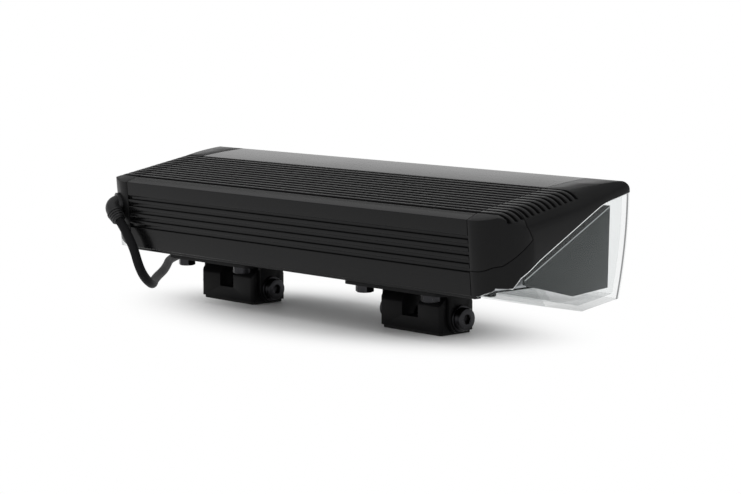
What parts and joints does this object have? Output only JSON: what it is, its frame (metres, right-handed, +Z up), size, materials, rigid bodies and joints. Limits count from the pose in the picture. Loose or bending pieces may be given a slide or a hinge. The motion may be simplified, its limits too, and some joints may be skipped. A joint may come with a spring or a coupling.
{
  "type": "headlight bar",
  "caption": "Wide LED headlight bar with a ribbed heat sink body, a clear wrap-round cover and sliding feet that tilt.",
  "frame": {"origin": "on the mounting surface under the middle of the lamp, with the feet at their middle places", "axes": "+X along the lamp, to the right when seen from behind; +Y the way the light shines; +Z up"},
  "size_m": [0.3879, 0.2101, 0.0733],
  "materials": {
    "black_anodised": "satin black anodised aluminium extrusion",
    "plain_aluminium": "plain machined aluminium",
    "seal_rubber": "matt black rubber",
    "steel": "zinc-plated steel",
    "cap_black": "satin black moulded plastic",
    "clear_cover": "clear glossy moulded cover",
    "bezel_grey": "dark grey moulded plastic",
    "bright_reflector": "vacuum-metallised reflector",
    "white_board": "white solder mask on an aluminium board",
    "phosphor": "yellow phosphor chip",
    "pad_grey": "grey heat-conducting pad",
    "cradle_black": "matt black moulded plastic",
    "green_board": "green solder mask",
    "capacitor_sleeve": "dark shrink sleeve",
    "copper": "enamelled copper winding",
    "chip_black": "black moulded chip",
    "green_terminal": "green moulded terminal",
    "cable_rubber": "satin black rubber",
    "wire_red": "coloured insulation",
    "plug_black": "black nylon",
    "brass": "bare brass",
    "bracket_black": "black powder-coated steel sheet",
    "black_steel": "blackened steel"
  },
  "bodies": {
    "lamp": {"heat_sink_body": "black_anodised", "end_plate_left": "plain_aluminium", "end_plate_right": "plain_aluminium", "end_seal_left": "seal_rubber", "end_seal_right": "seal_rubber", "end_plate_screws": "steel", "end_cap_left": "cap_black", "end_cap_right": "cap_black", "corner_cap_left": "cap_black", "corner_cap_right": "cap_black", "end_cap_screws": "steel", "lens_cover": "clear_cover", "brow_gasket": "seal_rubber", "sill_gasket": "seal_rubber", "inner_bezel": "bezel_grey", "reflector_bank": "bright_reflector", "led_board": "white_board", "led_chips": "phosphor", "thermal_pad": "pad_grey", "led_board_screws": "steel", "driver_cradles": "cradle_black", "driver_board": "green_board", "driver_capacitors": "capacitor_sleeve", "driver_coils": "copper", "driver_chips": "chip_black", "terminal_block": "green_terminal", "cable_boot": "cable_rubber", "entry_nut": "steel", "wire_grommet": "seal_rubber", "supply_wires": "wire_red", "lead_cord": "cable_rubber", "connector_boot": "cable_rubber", "connector_shell": "plug_black", "connector_pins": "brass"},
    "left_bracket": {"mount_bracket_left": "bracket_black", "bracket_bolts_left": "black_steel", "slot_nuts_left": "steel"},
    "right_bracket": {"mount_bracket_right": "bracket_black", "bracket_bolts_right": "black_steel", "slot_nuts_right": "steel"},
    "left_foot": {"foot_block_left": "black_anodised", "foot_pad_left": "seal_rubber", "pivot_screws_left": "black_steel", "pivot_washers_left": "black_steel"},
    "right_foot": {"foot_block_right": "black_anodised", "foot_pad_right": "seal_rubber", "pivot_screws_right": "black_steel", "pivot_washers_right": "black_steel"}
  },
  "joints": [
    {"name": "left_slide", "type": "slide", "parent": "lamp", "child": "left_bracket", "axis": [1, 0, 0], "range_m": [-0.023, 0.034]},
    {"name": "right_slide", "type": "slide", "parent": "lamp", "child": "right_bracket", "axis": [1, 0, 0], "range_m": [-0.034, 0.023]},
    {"name": "left_tilt", "type": "hinge", "parent": "left_bracket", "child": "left_foot", "pos_m": [-0.069, -0.0094, 0.008], "axis": [1, 0, 0], "range_deg": [-35, 20]},
    {"name": "right_tilt", "type": "hinge", "parent": "right_bracket", "child": "right_foot", "pos_m": [0.069, -0.0094, 0.008], "axis": [1, 0, 0], "range_deg": [-35, 20]}
  ],
  "couplings": [
    {"joint": "right_tilt", "follows": "left_tilt", "ratio": 1}
  ]
}
